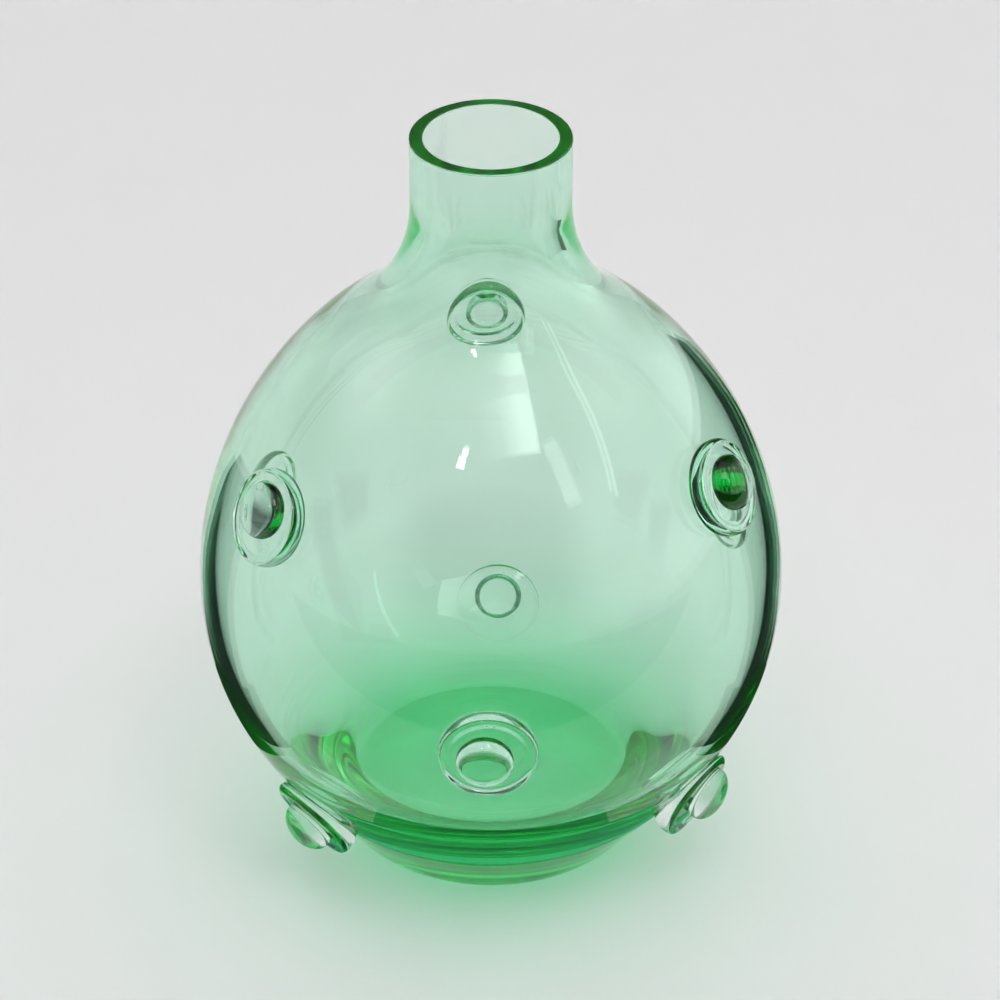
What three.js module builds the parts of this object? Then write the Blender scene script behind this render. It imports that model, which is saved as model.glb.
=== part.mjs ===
// A blown glass vase: a thick green bubble with a straight neck, and nine clear prunts fused on it in three
// rings. Each prunt is a gather pressed into a disc, with a smaller gather dropped on it as a round boss.
// Millimetres, +Z up. The origin is the middle of the ground foot, and the front looks along -Y.
import * as THREE from 'three';

// Outside of the bubble
const BELLY_RADIUS = 77;        // at its widest
const BELLY_LEVEL = 76;         // height of the widest place
const BELLY_HANDLE = 36;        // how far the belly keeps its upright turn below the widest place
const FOOT_RADIUS = 40.5;       // where the side would meet the table without its softened edge
const FOOT_SLOPE = 53;          // degrees between the table and the side, just above the foot
const FOOT_HANDLE = 31.5;       // how far the side keeps that slope
const FOOT_EDGE_RADIUS = 1.8;   // softened edge round the ground foot
const SHOULDER_RISE = 91;       // from the widest place to where the shoulder would close without a neck
const NECK_RADIUS = 20.2;
const NECK_FILLET = 40;         // curve between the shoulder and the neck
const NECK_LENGTH = 18;         // straight part of the neck, above that curve
const RIM_BEVEL = 0.5;          // polished edge on both sides of the cut rim

// Thickness of the glass
const BELLY_WALL = 3.8;
const SHOULDER_WALL = 3;
const NECK_WALL = 3.4;
const FLOOR_THICKNESS = 12.5;
const BORE_FILLET = 36;         // curve between the hollow and the bore; under NECK_FILLET the glass is thick there

// Fullness of a quarter curve: its handles as a share of the sides of its box
const SHOULDER_FULLNESS = 0.505;  // a little leaner than an ellipse, which has 0.552
const CAVITY_FULLNESS = 0.65;     // the flatter bottom of the hollow

// Prunts
const DISC_RADIUS = 12.5;
const DISC_THICKNESS = 4.4;     // at its middle, over its lip
const DISC_LIP = 2.4;           // width of the rounded lip round the disc
const DISC_DISH = 0.5;          // how far the disc dips inside its lip
const BOSS_RADIUS = 7.15;
const BOSS_HEIGHT = 5.8;
const BOSS_WAIST = 0.4;         // how far the boss draws in where it meets the disc
const BOSS_SWELL = 1.3;         // height of its widest place above the disc
const SEAT_GAP = 0.3;           // between pieces that are fused on the real vase

// Where each prunt was pressed on, in degrees: its azimuth from the front, its rise above the widest place
// as seen from the middle of the bubble, and its lean, which makes the lower edge of its disc stand out.
// The slip is how far its boss landed off the middle of the disc, round and up, as shares of the room there.
const PRUNTS = [
  { name: 'upper_left', azimuth: -54.5, rise: 32, lean: 0, slip: [0.41, 0.75] },
  { name: 'upper_right', azimuth: 61.5, rise: 35, lean: 0, slip: [-0.3, 0.44] },
  { name: 'upper_back', azimuth: 181.3, rise: 30.5, lean: 0, slip: [-0.1, -0.4] },
  { name: 'middle_front', azimuth: -0.5, rise: -1.2, lean: 0, slip: [-0.27, 0.07] },
  { name: 'middle_right', azimuth: 117.5, rise: -3, lean: 0, slip: [0, 0] },
  { name: 'middle_left', azimuth: -123, rise: -2.5, lean: 0, slip: [0, 0] },
  { name: 'lower_left', azimuth: -49.5, rise: -41, lean: 9, slip: [0, 0] },
  { name: 'lower_right', azimuth: 55.5, rise: -36.2, lean: 14, slip: [0.66, 0.66] },
  { name: 'lower_back', azimuth: 178, rise: -44, lean: 0, slip: [0, 0.88] },
];

// Smoothness
const TURN_STEPS = 64;          // facets round the bubble
const CURVE_STEPS = 10;         // steps along each main curve of its outline
const FILLET_STEPS = 4;
const EDGE_STEPS = 2;           // steps round the edge of the foot
const DISC_STEPS = 20;          // facets round a disc
const LIP_STEPS = 4;            // steps round its lip
const BOSS_STEPS = 16;          // facets round a boss
const DOME_STEPS = 5;           // steps from its widest place to its top
const HALVINGS = 50;            // of an interval, to find where a curve crosses a line

const radians = THREE.MathUtils.degToRad;
const degrees = THREE.MathUtils.radToDeg;
const at = (r, z) => new THREE.Vector2(r, z);

// A list with a value at each of so many equal steps, both ends included.
const stepped = (steps, value) => Array.from({ length: steps + 1 }, (_, i) => value(i / steps));

// Points on an arc round a middle, its angles in degrees from the outward direction.
function arc(middle, radius, from, to, steps) {
  return stepped(steps, (share) => {
    const angle = radians(from + (to - from) * share);
    return at(middle.x + radius * Math.cos(angle), middle.y + radius * Math.sin(angle));
  });
}

// Where a function changes its sign between two values.
function crossing(f, low, high) {
  const sign = Math.sign(f(low));
  for (let i = 0; i < HALVINGS; i++) {
    const middle = (low + high) / 2;
    if (Math.sign(f(middle)) === sign) low = middle;
    else high = middle;
  }
  return (low + high) / 2;
}

// A quarter curve from an upright side at the widest place to a level crown or floor on the axis.
function quarter(radius, end, fullness) {
  const handle = BELLY_LEVEL + (end - BELLY_LEVEL) * fullness;
  return new THREE.CubicBezierCurve(
    at(radius, BELLY_LEVEL),
    at(radius, handle),
    at(radius * fullness, end),
    at(0, end),
  );
}

// A shoulder that turns up into the neck through a fillet tangent to both, as points from bottom to top.
function shoulderToNeck(shoulder, neckRadius, fillet) {
  const beside = (t) => {
    const tangent = shoulder.getTangent(t);
    return shoulder.getPoint(t).addScaledVector(at(tangent.y, -tangent.x), fillet);
  };
  const touch = crossing((t) => beside(t).x - neckRadius - fillet, 0, 1);
  const middle = beside(touch);
  const away = shoulder.getPoint(touch).sub(middle);
  const curve = stepped(CURVE_STEPS, (share) => shoulder.getPoint(touch * share));
  const turn = arc(middle, fillet, degrees(Math.atan2(away.y, away.x)), -180, FILLET_STEPS);
  return [...curve, ...turn.slice(1)];
}

// The outside of the bubble, from the flat of the foot to the foot of the straight neck.
function outsideOutline() {
  const slope = radians(FOOT_SLOPE);
  const setback = FOOT_EDGE_RADIUS * Math.tan(slope / 2);
  const middle = at(FOOT_RADIUS - setback, FOOT_EDGE_RADIUS);
  const edge = arc(middle, FOOT_EDGE_RADIUS, -90, FOOT_SLOPE - 90, EDGE_STEPS);
  const start = edge[EDGE_STEPS];
  const side = new THREE.CubicBezierCurve(
    start,
    at(start.x + FOOT_HANDLE * Math.cos(slope), start.y + FOOT_HANDLE * Math.sin(slope)),
    at(BELLY_RADIUS, BELLY_LEVEL - BELLY_HANDLE),
    at(BELLY_RADIUS, BELLY_LEVEL),
  );
  const shoulder = quarter(BELLY_RADIUS, BELLY_LEVEL + SHOULDER_RISE, SHOULDER_FULLNESS);
  return [
    ...edge,
    ...side.getPoints(CURVE_STEPS).slice(1),
    ...shoulderToNeck(shoulder, NECK_RADIUS, NECK_FILLET).slice(1),
  ];
}

// The hollow, from the foot of the bore down to the middle of the floor.
function insideOutline() {
  const radius = BELLY_RADIUS - BELLY_WALL;
  const shoulder = quarter(radius, BELLY_LEVEL + SHOULDER_RISE - SHOULDER_WALL, SHOULDER_FULLNESS);
  const floor = quarter(radius, FLOOR_THICKNESS, CAVITY_FULLNESS);
  return [
    ...shoulderToNeck(shoulder, NECK_RADIUS - NECK_WALL, BORE_FILLET).reverse(),
    ...floor.getPoints(CURVE_STEPS).slice(1),
  ];
}

// An outline turned round the Z axis, with its first point's seam at the front.
function turned(outline, steps) {
  return new THREE.LatheGeometry(outline, steps).rotateX(Math.PI / 2);
}

function bubble(outside) {
  const rim = outside[outside.length - 1].y + NECK_LENGTH;
  const bore = NECK_RADIUS - NECK_WALL;
  return turned([
    at(0, 0),
    ...outside,
    at(NECK_RADIUS, rim - RIM_BEVEL),
    at(NECK_RADIUS - RIM_BEVEL, rim),
    at(bore + RIM_BEVEL, rim),
    at(bore, rim - RIM_BEVEL),
    ...insideOutline(),
  ], TURN_STEPS);
}

// The disc, as it would lie on a flat table: a rounded lip round a slightly dished top.
function discOutline() {
  const half = DISC_LIP / 2;
  const top = DISC_THICKNESS - DISC_DISH;
  const lip = stepped(LIP_STEPS, (share) => {
    const angle = Math.PI * (share - 0.5);
    return at(DISC_RADIUS - half + half * Math.cos(angle), DISC_THICKNESS * (1 + Math.sin(angle)) / 2);
  });
  return [at(0, 0), at(DISC_RADIUS / 2, 0), ...lip, at(DISC_RADIUS - DISC_LIP, top), at(0, top)];
}

// The boss, a dome that draws in a little at its waist.
function bossOutline() {
  const dome = stepped(DOME_STEPS, (share) => {
    const angle = share * Math.PI / 2;
    return at(BOSS_RADIUS * Math.cos(angle), BOSS_SWELL + (BOSS_HEIGHT - BOSS_SWELL) * Math.sin(angle));
  });
  return [at(0, 0), at(BOSS_RADIUS - BOSS_WAIST, 0), ...dome.slice(0, -1), at(0, BOSS_HEIGHT)];
}

// The bubble's radius at a height, on the straight steps of its outline.
function radiusAt(outside, z) {
  const above = outside.findIndex((point) => point.y > z);
  if (above < 1) return outside[above === 0 ? 0 : outside.length - 1].x;
  const [low, high] = [outside[above - 1], outside[above]];
  return THREE.MathUtils.mapLinear(z, low.y, high.y, low.x, high.x);
}

// The place where a prunt is pressed on, with the directions round, up and away from the bubble there.
function seat(outside, prunt) {
  const rise = radians(prunt.rise);
  const azimuth = radians(prunt.azimuth);
  const reach = crossing(
    (d) => d * Math.cos(rise) - radiusAt(outside, BELLY_LEVEL + d * Math.sin(rise)),
    0,
    BELLY_RADIUS + SHOULDER_RISE,
  );
  const level = BELLY_LEVEL + reach * Math.sin(rise);
  const chord = DISC_RADIUS / 2;
  const taper = radiusAt(outside, level - chord) - radiusAt(outside, level + chord);
  const pitch = Math.atan2(taper, 2 * chord);
  const outward = new THREE.Vector3(Math.sin(azimuth), -Math.cos(azimuth), 0);
  return {
    point: outward.clone().multiplyScalar(reach * Math.cos(rise)).setZ(level),
    east: new THREE.Vector3(Math.cos(azimuth), Math.sin(azimuth), 0),
    north: outward.clone().multiplyScalar(-Math.sin(pitch)).setZ(Math.cos(pitch)),
    away: outward.clone().multiplyScalar(Math.cos(pitch)).setZ(Math.sin(pitch)),
  };
}

// Lays a flat-lying piece on the bubble: each point goes straight in to the glass, then out by its height.
function laid(geometry, outside, prunt, heightOf) {
  const { point, east, north, away } = seat(outside, prunt);
  const position = geometry.getAttribute('position');
  const local = new THREE.Vector3();
  for (let i = 0; i < position.count; i++) {
    local.fromBufferAttribute(position, i);
    const over = point.clone().addScaledVector(east, local.x).addScaledVector(north, local.y);
    const onGlass = (t) => over.clone().addScaledVector(away, t);
    const depth = crossing((t) => {
      const p = onGlass(t);
      return Math.hypot(p.x, p.y) - radiusAt(outside, p.z);
    }, DISC_RADIUS, -BELLY_RADIUS / 2);
    const placed = onGlass(depth + SEAT_GAP + heightOf(local));
    position.setXYZ(i, placed.x, placed.y, placed.z);
  }
  geometry.computeVertexNormals();
  return geometry;
}

// How much thicker a leaning disc is at a place above or below its middle.
const leaned = (prunt, y) => 1 - y * Math.tan(radians(prunt.lean)) / DISC_THICKNESS;

function disc(outside, prunt) {
  return laid(turned(discOutline(), DISC_STEPS), outside, prunt, (p) => p.z * leaned(prunt, p.y));
}

function boss(outside, prunt) {
  const top = DISC_THICKNESS - DISC_DISH;
  const room = DISC_RADIUS - DISC_LIP - BOSS_RADIUS;
  const dome = turned(bossOutline(), BOSS_STEPS).translate(prunt.slip[0] * room, prunt.slip[1] * room, 0);
  return laid(dome, outside, prunt, (p) => top * leaned(prunt, p.y) + SEAT_GAP + p.z);
}

function piece(name, geometry, color, roughness, opacity) {
  const look = { color, roughness, metalness: 0, transparent: true, opacity };
  const material = new THREE.MeshStandardMaterial(look);
  const mesh = new THREE.Mesh(geometry, material);
  mesh.name = name;
  return mesh;
}

const vase = new THREE.Group();
const outside = outsideOutline();
vase.add(piece('bubble', bubble(outside), 0x9fdcb6, 0.04, 0.55));
for (const prunt of PRUNTS) {
  vase.add(piece(`disc_${prunt.name}`, disc(outside, prunt), 0xdcf0e4, 0.05, 0.5));
  vase.add(piece(`boss_${prunt.name}`, boss(outside, prunt), 0xd4ecdd, 0.05, 0.5));
}

export default vase;
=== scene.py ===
import math

import bpy
import numpy as np
from mathutils import Matrix, Vector


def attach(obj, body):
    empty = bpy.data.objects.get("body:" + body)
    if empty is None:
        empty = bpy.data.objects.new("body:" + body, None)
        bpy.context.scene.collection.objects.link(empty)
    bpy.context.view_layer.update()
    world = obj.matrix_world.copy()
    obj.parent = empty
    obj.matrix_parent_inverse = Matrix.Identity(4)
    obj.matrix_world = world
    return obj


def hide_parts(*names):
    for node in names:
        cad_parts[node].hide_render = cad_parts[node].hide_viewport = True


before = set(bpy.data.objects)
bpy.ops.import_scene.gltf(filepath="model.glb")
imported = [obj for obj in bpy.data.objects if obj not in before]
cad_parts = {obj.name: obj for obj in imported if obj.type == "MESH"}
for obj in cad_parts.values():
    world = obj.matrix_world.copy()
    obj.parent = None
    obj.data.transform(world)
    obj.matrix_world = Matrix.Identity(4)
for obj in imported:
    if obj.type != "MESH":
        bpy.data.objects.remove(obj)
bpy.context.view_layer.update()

# The blown glass vase: the bubble and its prunts, as finer meshes laid on the frame's own outlines.
# Metres, +Z up, the front looks along -Y.
MM = 0.001

# Camera, at the photograph's viewing angle
CAMERA_DISTANCE = 0.924          # from the middle of the belly
CAMERA_ELEVATION = 34.75         # degrees above the horizon
CAMERA_YAW = -0.149              # degrees that the aim is turned from the middle of the belly
CAMERA_PITCH = 1.1               # degrees
CAMERA_LENS = 125.31             # millimetres, on a sensor 36 mm wide
SENSOR_WIDTH = 36.0

# Meshes
TURN_STEPS = 256                 # facets round the bubble
OUTLINE_STEP = 1.5 * MM          # between the rings of the bubble
PRUNT_STEPS = 96                 # facets round a disc or a boss
ARC_STEPS = 8                    # steps round a small edge
SUPPORT = 0.4 * MM               # from a corner to the ring that keeps its shading tight
CONTACT_GAP = 0.04 * MM          # between the meshes of pieces that are fused
ON_SEAM = 0.01 * MM              # how near to the front seam a CAD point counts as on it
SAME_POINT = 0.02 * MM

# Prunts
DISC_RADIUS = 12.5 * MM
DISC_THICKNESS = 4.4 * MM
DISC_LIP = 2.4 * MM
DISC_DISH = 0.5 * MM
BOSS_RADIUS = 7.15 * MM
BOSS_HEIGHT = 5.8 * MM
BOSS_WAIST = 0.4 * MM
BOSS_WAIST_ANGLE = 55            # degrees below level at which the side leaves the disc
BOSS_SWELL = 1.3 * MM
LEAN = {"lower_left": 9, "lower_right": 14}  # degrees that the disc's lower edge stands out
LAID_BETWEEN = (-40 * MM, 12 * MM)  # heights over the prunt's middle between which the wall is found
LAID_HALVINGS = 40

# How far the hand-blown wall leaves a true circle: share of the radius, waves round the bubble, the angle
# at which they start and how far it turns on the way up, in radians
WAVES = [(0.0012, 2, 0.6, 0.0), (0.0008, 3, 2.1, 2.0)]

# Glass
GLASS_IOR = 1.5
RIM_ROUGHNESS = 0.3              # of the cut rim
GREEN_TINT = (0.02, 0.895, 0.46)
GREEN_DENSITY = 50.0             # per metre
CLEAR_TINT = (0.4, 0.95, 0.7)
CLEAR_DENSITY = 3.0
RIPPLE = 0.02
RIPPLE_SCALE = 45.0              # per metre
GLASS_BOUNCES = 80               # light is led along the wall by many reflections
BRIGHTEST_SAMPLE = 6.0

# Floor
FLOOR_HALF_WIDTH = 1.6
FLOOR_DROP = 0.02 * MM           # below the foot
FLOOR_COLOUR = (0.88, 0.88, 0.88, 1)
FLOOR_BLEED = 25 * MM            # how far light spreads in the pale sheet

# Light. The world's levels by height, and a second set over the direction's place between front and back or
# left and right. What lights the scene is the product of its two, and the room that the glass shows the sum
LIT_BY_HEIGHT = [(0.0, 1.02), (0.45, 0.90), (0.55, 0.38), (0.75, 0.48), (0.85, 1.15), (1.0, 1.15)]
LIT_TO_BACK = [(-1.0, 0.1), (-0.5, 0.4), (-0.1, 1.0), (0.55, 1.0), (0.75, 2.8), (1.0, 2.8)]
SEEN_BY_HEIGHT = [(0.0, 0.45), (0.1, 0.4), (0.2, 0.03), (0.5, 0.03), (0.75, 0.1), (0.85, 0.5), (1.0, 0.6)]
SEEN_TO_SIDE = [(-1.0, 0.1), (-0.85, 0.2), (-0.7, 0.45), (-0.45, 0.0), (0.45, 0.0), (0.7, 0.8), (1.0, 0.9)]
BACKDROP = (0.74, 0.74, 0.74, 1)
LAMP_DISTANCE = 1.5              # from the middle of the belly
WINDOW_FADE = [(0.0, 0.0), (0.4, 0.25), (0.75, 0.9), (1.0, 1.0)]  # levels over the lamp's width
VEIL_FADE = [(0.0, 1.0), (0.15, 0.85), (0.35, 0.25), (0.5, 0.0), (1.0, 0.0)]  # levels from its middle

# Cards of painted shade that show only in what the glass reflects, in millimetres: painted dark reflections
# in black, and a painted shadow in green. The upright ones behind the sides darken the vase's edges, and
# their corners are given along the card and up
# painted dark reflection: the black of a dark room beside and before the vase, shown only in the glass
PAINTED_SHADE_BLACK = (0.02, 0.02, 0.02, 1)
# painted shadow: the dark green of the shaded floor round the foot, shown only where the glass reflects it
PAINTED_SHADOW_GREEN = (0.16, 0.53, 0.38, 1)
PAINTED_SHADE_SIDE = [(-90, 1), (-41, 1), (-45, 20), (-48, 38), (-50, 50)]
PAINTED_SHADE_RIGHT = PAINTED_SHADE_SIDE + [
    (-46, 65), (-42, 84), (-34, 96), (-25, 106), (-19, 118), (-13, 128), (-16, 140), (-90, 140),
]
PAINTED_SHADE_LEFT = PAINTED_SHADE_SIDE + [(-49, 65), (-50, 80), (-48, 96), (-50, 106), (-90, 115)]
PAINTED_SHADE_LOW = [(-60, 1), (-10, 1), (-20, 20), (-24, 32), (-28, 45), (-60, 45)]
# painted dark reflection of a dark room in front, laid on the floor far before the vase
PAINTED_SHADE_FRONT = [(-900, -190, 1), (900, -190, 1), (900, -1500, 1), (-900, -1500, 1)]
# A band of painted shadow on the floor round the front of the foot, shown only in the glass
FOOT_SHADOW_TURN = 80              # degrees to each side of the front
FOOT_SHADOW_STEPS = 32
FOOT_SHADOW_PRUNTS_FROM = 40       # degrees to each side of the front
FOOT_SHADOW_NEAR = 47
FOOT_SHADOW_FAR = 85
FOOT_SHADOW_FAR_AT_PRUNTS = 66
FOOT_SHADOW_HEIGHT = 0.05


def unit(v):
    return v / np.linalg.norm(v)


def vertices(node):
    """A CAD node's vertices, each once."""
    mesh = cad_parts[node].data
    co = np.zeros(len(mesh.vertices) * 3, np.float32)
    mesh.vertices.foreach_get("co", co)
    return np.unique(co.reshape(-1, 3).astype(float).round(7), axis=0)


def outline_of(node, middle, outside):
    """(r, z) points of a turned node on its front seam, outside from the bottom up or inside from the top
    down."""
    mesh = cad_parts[node].data
    kept = set()
    for face in mesh.polygons:
        if (face.normal.dot(face.center - middle) > 0) == outside:
            kept.update(face.vertices)
    co = np.array([mesh.vertices[i].co for i in kept])
    seam = co[(abs(co[:, 0]) < ON_SEAM) & (co[:, 1] < ON_SEAM)]
    points = np.c_[-seam[:, 1], seam[:, 2]]
    angle = np.arctan2(points[:, 1] - middle.z, points[:, 0])
    points = points[np.argsort(angle if outside else -angle)]
    apart = np.r_[True, np.linalg.norm(np.diff(points, axis=0), axis=1) > SAME_POINT]
    return points[apart]


def smooth_curve(points, start, end, step):
    """Points along a cubic spline through points, with these directions at its ends."""
    chord = np.linalg.norm(np.diff(points, axis=0), axis=1)
    s = np.r_[0, np.cumsum(chord)]
    n = len(points)
    matrix = np.zeros((n, n))
    right = np.zeros((n, 2))
    matrix[0, 0] = matrix[-1, -1] = 1
    right[0], right[-1] = start, end
    for i in range(1, n - 1):
        matrix[i, i - 1:i + 2] = chord[i], 2 * (chord[i - 1] + chord[i]), chord[i - 1]
        slopes = np.diff(points[i - 1:i + 2], axis=0) / chord[i - 1:i + 1, None]
        right[i] = 3 * (chord[i] * slopes[0] + chord[i - 1] * slopes[1])
    tangent = np.linalg.solve(matrix, right)
    at = np.linspace(0, s[-1], max(2, round(s[-1] / step)) + 1)
    i = np.clip(np.searchsorted(s, at, side="right") - 1, 0, n - 2)
    h = chord[i]
    t = ((at - s[i]) / h)[:, None]
    h = h[:, None]
    return (
        (2 * t**3 - 3 * t**2 + 1) * points[i]
        + (t**3 - 2 * t**2 + t) * h * tangent[i]
        + (3 * t**2 - 2 * t**3) * points[i + 1]
        + (t**3 - t**2) * h * tangent[i + 1]
    )


def straight(a, b):
    """A straight stretch of an outline, with a support ring near each end."""
    a, b = np.array(a), np.array(b)
    along = unit(b - a)
    return np.array([a, a + along * SUPPORT, (a + b) / 2, b - along * SUPPORT, b])


def arc(middle, radius, start, end):
    """Points on an arc, its angles in degrees from the outward direction."""
    angle = np.radians(np.linspace(start, end, ARC_STEPS + 1))
    return np.c_[middle[0] + radius * np.cos(angle), middle[1] + radius * np.sin(angle)]


def revolved(name, rings, steps, place, seat):
    """A closed mesh from (radius, height) rings, the first and last on the axis. place gives the points of
    (u, v, height), and seat the fused patch's coordinates there."""
    angle = np.arange(steps) * 2 * math.pi / steps
    inner = rings[1:-1]
    u = np.r_[0, (inner[:, :1] * np.cos(angle)).ravel(), 0]
    v = np.r_[0, (inner[:, :1] * np.sin(angle)).ravel(), 0]
    ring = np.r_[0, np.repeat(np.arange(1, len(rings) - 1), steps), len(rings) - 1]
    points = place(u, v, rings[ring, 1], ring)
    j = np.arange(steps)
    after = (j + 1) % steps
    start = 1 + np.arange(len(inner) - 1)[:, None] * steps
    quads = np.stack([start + j, start + after, start + steps + after, start + steps + j], -1).reshape(-1, 4)
    last = 1 + (len(inner) - 1) * steps
    pole = len(points) - 1
    faces = [(0, 1 + b, 1 + a) for a, b in zip(j, after)]
    faces += quads.tolist()
    faces += [(last + a, last + b, pole) for a, b in zip(j, after)]
    mesh = bpy.data.meshes.new(name)
    mesh.from_pydata(points.tolist(), [], faces)
    mesh.polygons.foreach_set("use_smooth", [True] * len(mesh.polygons))
    fused = mesh.attributes.new("seat", "FLOAT_VECTOR", "POINT")
    fused.data.foreach_set("vector", seat(points, u, v, ring).astype(np.float32).ravel())
    mesh.update()
    piece = bpy.data.objects.new(name, mesh)
    bpy.context.scene.collection.objects.link(piece)
    return piece


# The bubble's outlines
bubble = vertices("bubble")
belly = Vector((0, 0, bubble[np.argmax(np.hypot(bubble[:, 0], bubble[:, 1])), 2]))
out = outline_of("bubble", belly, True)
inside = outline_of("bubble", belly, False)
foot_edge, neck_foot, neck_top, rim_outer, rim_inner, bore_top = out[1], *out[-5:]
side = smooth_curve(out[1:-4], (1, 0), (0, 1), OUTLINE_STEP)
hollow = smooth_curve(inside[1:], (0, -1), (-1, 0), OUTLINE_STEP)
bevel = rim_outer[1] - neck_top[1]


def bubble_outline():
    outer_edge = arc(neck_top + (-bevel, 0), bevel, 0, 90)
    inner_edge = arc(bore_top + (bevel, 0), bevel, 90, 180)
    return np.concatenate([
        straight((0, 0), foot_edge)[:-1],
        side[:-1],
        straight(neck_foot, neck_top)[:-1],
        outer_edge[:-1],
        straight(rim_outer, rim_inner)[:-1],
        inner_edge[:-1],
        straight(bore_top, inside[1])[:-1],
        hollow,
    ])


def waves(azimuth, height):
    """How far the hand-blown wall leaves a true circle, as a share of its radius."""
    rise = (height - out[0, 1]) / (neck_foot[1] - out[0, 1])
    fade = np.clip(np.sin(np.pi * np.clip(rise, 0, 1)), 0, 1) ** 2
    return fade * sum(
        share * np.cos(count * azimuth + start + twist * rise)
        for share, count, start, twist in WAVES
    )


def outside_radius(azimuth, height):
    """The visual bubble's outside radius."""
    return np.interp(height, side[:, 1], side[:, 0]) * (1 + waves(azimuth, height))


class Prunt:
    """Where a prunt sits, read from its CAD disc and boss."""

    def __init__(self, name):
        self.name = name
        disc, boss = vertices(f"disc_{name}"), vertices(f"boss_{name}")
        near = disc[np.argsort(np.linalg.norm(disc - disc.mean(0), axis=1))[:2]]
        near = near[np.argsort(np.linalg.norm(near - (0, 0, belly.z), axis=1))]
        self.away = unit(near[1] - near[0])
        self.point = near[0]
        outward = unit(self.away * (1, 1, 0))
        self.east = np.array([-outward[1], outward[0], 0])
        self.north = np.cross(self.away, self.east)
        u, v = self.across(boss)
        self.boss_u, self.boss_v = (u.min() + u.max()) / 2, (v.min() + v.max()) / 2
        self.lean = math.tan(math.radians(LEAN.get(name, 0))) / DISC_THICKNESS

    def across(self, points):
        """Coordinates east and north of the prunt's axis."""
        local = points - self.point
        return local @ self.east, local @ self.north

    def laid(self, u, v, height):
        """Points at a height over the visual bubble."""
        over = self.point + np.outer(u, self.east) + np.outer(v, self.north)
        low, high = (np.full(len(u), end) for end in LAID_BETWEEN)
        for _ in range(LAID_HALVINGS):
            middle = (low + high) / 2
            p = over + middle[:, None] * self.away
            azimuth = np.arctan2(p[:, 0], -p[:, 1])
            beyond = np.hypot(p[:, 0], p[:, 1]) > outside_radius(azimuth, p[:, 2])
            low, high = np.where(beyond, low, middle), np.where(beyond, middle, high)
        return over + ((low + high) / 2 + height)[:, None] * self.away

    def leaned(self, v):
        return 1 - v * self.lean


prunts = [Prunt(n[len("disc_"):]) for n in sorted(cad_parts) if n.startswith("disc_")]
disc_contact = DISC_RADIUS - DISC_LIP / 2
boss_contact = BOSS_RADIUS - BOSS_WAIST
FAR = 3.0                        # a seat coordinate that is never fused
FADE_FROM, FADE_TO = 1.3, 2      # contact radii between which the seat coordinates of the bubble fade
WALL_DEPTH = 20 * MM             # how far below a prunt's middle the bubble still carries its seat


def make_bubble():
    rings = bubble_outline()
    outer_rings = len(straight((0, 0), foot_edge)[:-1]) + len(side[:-1])

    def place(u, v, height, ring):
        azimuth = np.arctan2(u, -v)
        grown = 1 + waves(azimuth, height)
        return np.c_[u * grown, v * grown, height]

    def seat(points, u, v, ring):
        found = np.full((len(points), 3), FAR)
        outer = ring < outer_rings
        for prunt in prunts:
            east, north = (x / disc_contact for x in prunt.across(points))
            reach = np.hypot(east, north)
            near = outer & (reach < FADE_TO) & ((points - prunt.point) @ prunt.away > -WALL_DEPTH)
            fade = FAR * np.clip((reach - FADE_FROM) / (FADE_TO - FADE_FROM), 0, 1)
            found[near] = np.c_[east, north, fade][near]
        return found

    piece = revolved("bubble_glass", rings, TURN_STEPS, place, seat)
    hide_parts("bubble")
    return piece


def disc_rings():
    half = DISC_LIP / 2
    base = straight((0, 0), (disc_contact, 0))
    angle = np.radians(np.linspace(-90, 90, 3 * ARC_STEPS + 1))
    lip = np.c_[disc_contact + half * np.cos(angle), DISC_THICKNESS / 2 * (1 + np.sin(angle))]
    t = np.linspace(0, 1, 2 * ARC_STEPS + 1)
    slope = np.c_[disc_contact - DISC_LIP * t, DISC_THICKNESS - DISC_DISH * (1 - np.cos(np.pi * t)) / 2]
    top = np.linspace(slope[-1], (0, slope[-1, 1]), ARC_STEPS)
    return np.concatenate([base[:-1], lip[:-1], slope[:-1], top]), len(base) - 1 + len(lip) // 2


def make_disc(prunt):
    rings, lower = disc_rings()

    def place(u, v, height, ring):
        return prunt.laid(u, v, CONTACT_GAP + height * prunt.leaned(v))

    def seat(points, u, v, ring):
        below = np.c_[u / disc_contact, v / disc_contact, 0 * u]
        above = np.c_[(u - prunt.boss_u) / boss_contact, (v - prunt.boss_v) / boss_contact, 0 * u]
        return np.where((ring <= lower)[:, None], below, above)

    piece = revolved(f"disc_{prunt.name}_glass", rings, PRUNT_STEPS, place, seat)
    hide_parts(f"disc_{prunt.name}")
    return piece


def boss_rings():
    base = straight((0, 0), (boss_contact, 0))
    t = np.radians(np.linspace(-BOSS_WAIST_ANGLE, 0, ARC_STEPS + 1))
    waist = np.c_[boss_contact + BOSS_WAIST * (np.cos(t) - np.cos(t[0])) / (1 - np.cos(t[0])),
                  BOSS_SWELL * (1 - np.sin(t) / np.sin(t[0]))]
    angle = np.radians(np.linspace(0, 90, 3 * ARC_STEPS + 1))
    dome = np.c_[BOSS_RADIUS * np.cos(angle), BOSS_SWELL + (BOSS_HEIGHT - BOSS_SWELL) * np.sin(angle)]
    return np.concatenate([base[:-1], waist[:-1], dome]), len(base) - 1


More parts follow.
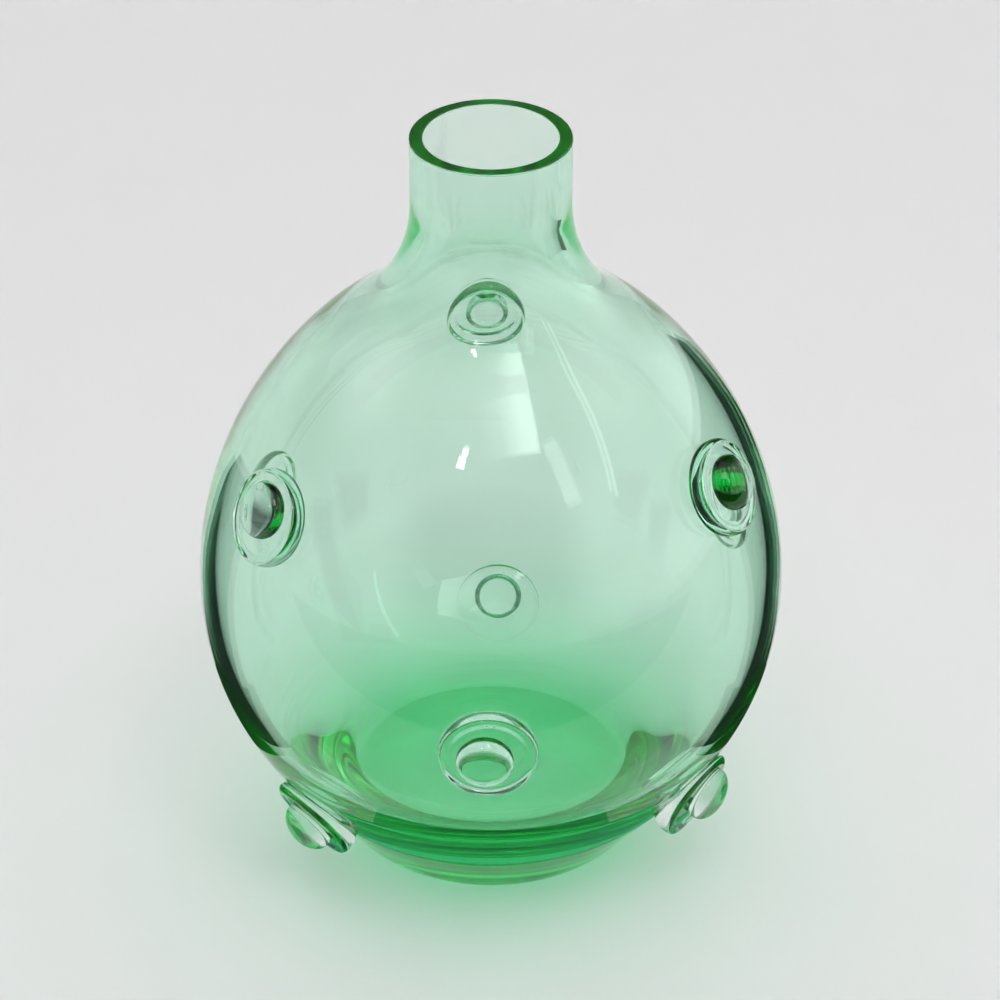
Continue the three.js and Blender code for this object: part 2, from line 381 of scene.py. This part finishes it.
def make_boss(prunt):
    rings, foot = boss_rings()
    top = DISC_THICKNESS - DISC_DISH

    def place(u, v, height, ring):
        u, v = u + prunt.boss_u, v + prunt.boss_v
        return prunt.laid(u, v, 2 * CONTACT_GAP + top * prunt.leaned(v) + height)

    def seat(points, u, v, ring):
        return np.c_[u / boss_contact, v / boss_contact, np.where(ring > foot, FAR, 0)]

    piece = revolved(f"boss_{prunt.name}_glass", rings, PRUNT_STEPS, place, seat)
    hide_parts(f"boss_{prunt.name}")
    return piece


def feed(tree, node, terms):
    """Gives a node's first sockets these terms, each a value or another node's output."""
    for socket, term in zip(node.inputs, terms):
        if isinstance(term, bpy.types.NodeSocket):
            tree.links.new(term, socket)
        else:
            socket.default_value = term


def worked_out(tree, operation, *terms):
    """The value of a math node."""
    node = tree.nodes.new("ShaderNodeMath")
    node.operation = operation
    feed(tree, node, terms)
    return node.outputs["Value"]


def blended(tree, kind, *terms):
    """The colour of a mix node, from its factor and two colours."""
    node = tree.nodes.new("ShaderNodeMixRGB")
    node.blend_type = kind
    feed(tree, node, terms)
    return node.outputs["Color"]


def glass(name, tint, density):
    """Glass that lets light pass straight through where it is fused to its neighbour, a little rough on the
    cut rim."""
    material = bpy.data.materials.new(name)
    material.use_nodes = True
    tree = material.node_tree
    nodes, links = tree.nodes, tree.links
    shader = nodes["Principled BSDF"]
    shader.inputs["Base Color"].default_value = (1, 1, 1, 1)
    shader.inputs["Roughness"].default_value = 0.0
    shader.inputs["Transmission Weight"].default_value = 1.0
    shader.inputs["IOR"].default_value = GLASS_IOR

    seat = nodes.new("ShaderNodeAttribute")
    seat.attribute_name = "seat"
    reach = nodes.new("ShaderNodeVectorMath")
    reach.operation = "LENGTH"
    links.new(seat.outputs["Vector"], reach.inputs[0])
    free = worked_out(tree, "GREATER_THAN", reach.outputs["Value"], 1.0)
    links.new(worked_out(tree, "MULTIPLY_ADD", free, GLASS_IOR - 1, 1.0), shader.inputs["IOR"])

    place = nodes.new("ShaderNodeTexCoord")
    height = nodes.new("ShaderNodeSeparateXYZ")
    links.new(place.outputs["Object"], height.inputs["Vector"])
    on_rim = worked_out(tree, "GREATER_THAN", height.outputs["Z"], rim_outer[1] - bevel / 2)
    links.new(worked_out(tree, "MULTIPLY", on_rim, RIM_ROUGHNESS), shader.inputs["Roughness"])

    noise = nodes.new("ShaderNodeTexNoise")
    noise.inputs["Scale"].default_value = RIPPLE_SCALE
    noise.inputs["Detail"].default_value = 1.0
    links.new(place.outputs["Object"], noise.inputs["Vector"])
    bump = nodes.new("ShaderNodeBump")
    bump.inputs["Strength"].default_value = RIPPLE
    bump.inputs["Distance"].default_value = 1 * MM
    links.new(noise.outputs["Fac"], bump.inputs["Height"])
    links.new(bump.outputs["Normal"], shader.inputs["Normal"])

    volume = nodes.new("ShaderNodeVolumeAbsorption")
    volume.inputs["Color"].default_value = (*tint, 1)
    volume.inputs["Density"].default_value = density
    links.new(volume.outputs["Volume"], nodes["Material Output"].inputs["Volume"])
    return material


def make_vase():
    green_glass = glass("green_glass", GREEN_TINT, GREEN_DENSITY)
    clear_glass = glass("clear_glass", CLEAR_TINT, CLEAR_DENSITY)
    bubble_piece = make_bubble()
    bubble_piece.data.materials.append(green_glass)
    pieces = [bubble_piece]
    for prunt in prunts:
        for piece in (make_disc(prunt), make_boss(prunt)):
            piece.data.materials.append(clear_glass)
            pieces.append(piece)
    for piece in pieces:
        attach(piece, "root")


def stage_piece(name, corners):
    """A flat piece of the stage with these corners, and the shader of its own material."""
    mesh = bpy.data.meshes.new(name)
    mesh.from_pydata(corners, [], [tuple(range(len(corners)))])
    piece = bpy.data.objects.new(name, mesh)
    bpy.context.scene.collection.objects.link(piece)
    material = bpy.data.materials.new(name)
    material.use_nodes = True
    mesh.materials.append(material)
    return piece, material.node_tree


def make_floor():
    half = FLOOR_HALF_WIDTH
    corners = [(-half, -half, 0), (half, -half, 0), (half, half, 0), (-half, half, 0)]
    floor, tree = stage_piece("floor", corners)
    floor.location.z = -FLOOR_DROP
    shader = tree.nodes["Principled BSDF"]
    shader.inputs["Base Color"].default_value = FLOOR_COLOUR
    shader.inputs["Roughness"].default_value = 0.9
    shader.inputs["Specular IOR Level"].default_value = 0.1
    shader.subsurface_method = "BURLEY"
    shader.inputs["Subsurface Weight"].default_value = 1.0
    shader.inputs["Subsurface Radius"].default_value = (1, 1, 1)
    shader.inputs["Subsurface Scale"].default_value = FLOOR_BLEED


def ramp(tree, levels, low=0.0, high=1.0):
    """A colour ramp with a grey at each of these places between low and high."""
    node = tree.nodes.new("ShaderNodeValToRGB")
    stops = node.color_ramp.elements
    for place, level in levels:
        stop = stops.new((place - low) / (high - low))
        stop.color = (level, level, level, 1)
    stops.remove(stops[0])
    stops.remove(stops[-1])
    return node


def sky(tree, direction, by_height, axis, along, kind):
    """The levels by height of a direction, blended with those along a level axis."""
    upward = ramp(tree, by_height)
    tree.links.new(direction.outputs["Z"], upward.inputs["Fac"])
    level = ramp(tree, along, -1.0, 1.0)
    tree.links.new(worked_out(tree, "MULTIPLY_ADD", direction.outputs[axis], 0.5, 0.5), level.inputs["Fac"])
    return blended(tree, kind, 1.0, upward.outputs["Color"], level.outputs["Color"])


def seen_in_glass(tree, path):
    """1 on the camera's own rays that the glass bends or reflects, 0 on what lights the floor."""
    bent = worked_out(tree, "MAXIMUM", path.outputs["Is Glossy Ray"], path.outputs["Is Transmission Ray"])
    unscattered = worked_out(tree, "LESS_THAN", path.outputs["Diffuse Depth"], 0.5)
    return worked_out(tree, "MULTIPLY", bent, unscattered)


def make_world():
    """A bright studio. The camera and what it sees straight through the glass meet a pale backdrop, and the
    glass reflects a pale strip over the horizon, dark walls and a soft ceiling."""
    world = bpy.data.worlds.new("studio")
    bpy.context.scene.world = world
    world.use_nodes = True
    tree = world.node_tree
    nodes, links = tree.nodes, tree.links
    place = nodes.new("ShaderNodeTexCoord")
    direction = nodes.new("ShaderNodeSeparateXYZ")
    links.new(place.outputs["Generated"], direction.inputs["Vector"])
    path = nodes.new("ShaderNodeLightPath")
    seen = seen_in_glass(tree, path)
    unreflected = worked_out(tree, "LESS_THAN", path.outputs["Glossy Depth"], 0.5)
    through = worked_out(tree, "MULTIPLY", unreflected, seen)
    direct = worked_out(tree, "MAXIMUM", path.outputs["Is Camera Ray"], through)
    lit = sky(tree, direction, LIT_BY_HEIGHT, "Y", LIT_TO_BACK, "MULTIPLY")
    room = sky(tree, direction, SEEN_BY_HEIGHT, "X", SEEN_TO_SIDE, "ADD")
    colour = blended(tree, "MIX", direct, blended(tree, "MIX", seen, lit, room), BACKDROP)
    links.new(colour, nodes["Background"].inputs["Color"])
    nodes["Background"].inputs["Strength"].default_value = 1.0


def make_painted_shade(name, corners, colour=PAINTED_SHADE_BLACK, outside_only=False):
    """A card of painted shade beside the vase that shows only in what the glass reflects, within or only on
    its outside:
    a painted dark reflection, or in green a painted shadow. The camera, diffuse light and shadows pass it
    by. Its corners are in millimetres."""
    painted_shade, tree = stage_piece(name, [Vector(corner) * MM for corner in corners])
    nodes, links = tree.nodes, tree.links
    shader = nodes["Principled BSDF"]
    shader.inputs["Base Color"].default_value = colour
    shader.inputs["Roughness"].default_value = 1.0
    path = nodes.new("ShaderNodeLightPath")
    reflections = path.outputs["Is Reflection Ray" if outside_only else "Glossy Depth"]
    reflected = worked_out(tree, "GREATER_THAN", reflections, 0.5)
    shown = worked_out(tree, "MULTIPLY", reflected, seen_in_glass(tree, path))
    clear = nodes.new("ShaderNodeBsdfTransparent")
    either = nodes.new("ShaderNodeMixShader")
    feed(tree, either, (shown, clear.outputs["BSDF"], shader.outputs["BSDF"]))
    links.new(either.outputs["Shader"], nodes["Material Output"].inputs["Surface"])
    painted_shade.visible_camera = False
    painted_shade.visible_diffuse = False
    painted_shade.visible_shadow = False


def upright(turn, distance, outline, side):
    """The corners of an upright card of painted dark reflection behind the vase on one side, turned this far
    to the back and at this distance from its axis in millimetres. Its outline is given along the card and
    up."""
    face = math.radians(turn)
    return [(
        side * (distance * math.cos(face) - reach * math.sin(face)),
        distance * math.sin(face) + reach * math.cos(face),
        height,
    ) for reach, height in outline]


def foot_shadow_band():
    """The corners of a band of painted shadow on the floor, round the front of the foot: the shaded floor
    under the belly, seen only in the glass. It is narrower under the prunts.
    """
    turns = np.linspace(-FOOT_SHADOW_TURN, FOOT_SHADOW_TURN, FOOT_SHADOW_STEPS + 1)
    near = [(FOOT_SHADOW_NEAR, turn) for turn in turns]
    far = [
        (FOOT_SHADOW_FAR if abs(turn) < FOOT_SHADOW_PRUNTS_FROM else FOOT_SHADOW_FAR_AT_PRUNTS, turn)
        for turn in turns[::-1]
    ]
    return [(
        reach * math.sin(math.radians(turn)),
        -reach * math.cos(math.radians(turn)),
        FOOT_SHADOW_HEIGHT,
    ) for reach, turn in near + far]


def make_painted_shades():
    # Painted dark reflections at the sides and in front, and a painted shadow round the foot, shown only in
    # the glass
    make_painted_shade("painted_shade_right", upright(turn=46, distance=80, outline=PAINTED_SHADE_RIGHT, side=1))
    make_painted_shade("painted_shade_right_low", upright(turn=20, distance=72, outline=PAINTED_SHADE_LOW, side=1))
    make_painted_shade("painted_shade_left", upright(turn=46, distance=80, outline=PAINTED_SHADE_LEFT, side=-1))
    make_painted_shade("painted_shade_left_low", upright(turn=20, distance=72, outline=PAINTED_SHADE_LOW, side=-1))
    # painted shadow round the foot, shown only on the glass's outside reflections
    make_painted_shade("painted_shade_foot", foot_shadow_band(), PAINTED_SHADOW_GREEN, outside_only=True)
    make_painted_shade("painted_shade_front", PAINTED_SHADE_FRONT, outside_only=True)


def faded(tree, across, veil):
    """A lamp's brightness over its face: fading over its width, or for a veil from its middle outwards."""
    nodes, links = tree.nodes, tree.links
    place = nodes.new("ShaderNodeNewGeometry")
    if veil:
        away = nodes.new("ShaderNodeVectorMath")
        away.operation = "DISTANCE"
        away.inputs[1].default_value = (0.5, 0.5, 0)
        links.new(place.outputs["Parametric"], away.inputs[0])
        where = away.outputs["Value"]
    else:
        split = nodes.new("ShaderNodeSeparateXYZ")
        links.new(place.outputs["Parametric"], split.inputs["Vector"])
        where = split.outputs["X"]
    fade = ramp(tree, VEIL_FADE if veil else across)
    links.new(where, fade.inputs["Fac"])
    return fade.outputs["Color"]


def lamp(name, turn, rise, wide, high, level, tilt=0.0, across=None, veil=False):
    """A flat lamp of this brightness, turned to the vase. Its place is given by degrees to the right of the
    front and above the horizon, its tilt to the right in degrees, and across fades it over its width.
    A veil fades to its edges and shows only in what the glass reflects."""
    data = bpy.data.lights.new(name, "AREA")
    data.shape = "RECTANGLE"
    data.size = wide
    data.size_y = high
    data.energy = level * math.pi * wide * high
    if across or veil:
        data.use_nodes = True
        tree = data.node_tree
        tree.links.new(faded(tree, across, veil), tree.nodes["Emission"].inputs["Color"])
    light = bpy.data.objects.new(name, data)
    turn, rise = math.radians(turn), math.radians(rise)
    towards = Vector((math.sin(turn) * math.cos(rise), -math.cos(turn) * math.cos(rise), math.sin(rise)))
    light.location = belly + towards * LAMP_DISTANCE
    light.rotation_mode = "QUATERNION"
    tilted = Matrix.Rotation(-math.radians(tilt), 3, "Z")
    light.rotation_quaternion = (towards.to_track_quat("Z", "Y").to_matrix() @ tilted).to_quaternion()
    bpy.context.scene.collection.objects.link(light)
    if veil:
        light.visible_diffuse = False
        light.visible_transmission = False


def make_lamps():
    lamp("window", turn=14, rise=64, wide=0.66, high=0.60, level=4.0, across=WINDOW_FADE)
    lamp("window_side", turn=42, rise=43, wide=0.17, high=0.50, level=1.6)
    lamp("strip", turn=76, rise=46, wide=0.04, high=1.12, level=3.0, tilt=36)
    lamp("veil_left", turn=-103, rise=44, wide=1.5, high=1.1, level=1.9, veil=True)
    lamp("veil_right", turn=102, rise=45, wide=1.3, high=1.0, level=1.0, veil=True)
    lamp("veil_low", turn=123, rise=16, wide=1.3, high=0.8, level=0.9, veil=True)
    lamp("spot_a", turn=-17.9, rise=53.7, wide=0.06, high=0.06, level=22)
    lamp("spot_b", turn=-19.3, rise=50.7, wide=0.08, high=0.08, level=22)


def make_camera():
    data = bpy.data.cameras.new("camera")
    data.lens = CAMERA_LENS
    data.sensor_width = SENSOR_WIDTH
    camera = bpy.data.objects.new("camera", data)
    bpy.context.scene.collection.objects.link(camera)
    rise = math.radians(CAMERA_ELEVATION)
    back = Vector((0, -math.cos(rise), math.sin(rise)))
    turn = back.to_track_quat("Z", "Y").to_matrix()
    turn = turn @ Matrix.Rotation(math.radians(CAMERA_YAW), 3, "Y")
    turn = turn @ Matrix.Rotation(math.radians(CAMERA_PITCH), 3, "X")
    camera.matrix_world = Matrix.Translation(belly + back * CAMERA_DISTANCE) @ turn.to_4x4()
    bpy.context.scene.camera = camera


make_vase()
make_floor()
make_world()
make_painted_shades()
make_lamps()
make_camera()

scene = bpy.context.scene
scene.view_settings.view_transform = "Standard"
scene.cycles.max_bounces = GLASS_BOUNCES
scene.cycles.transmission_bounces = GLASS_BOUNCES
scene.cycles.glossy_bounces = GLASS_BOUNCES
scene.cycles.blur_glossy = 0.0
scene.cycles.sample_clamp_indirect = BRIGHTEST_SAMPLE
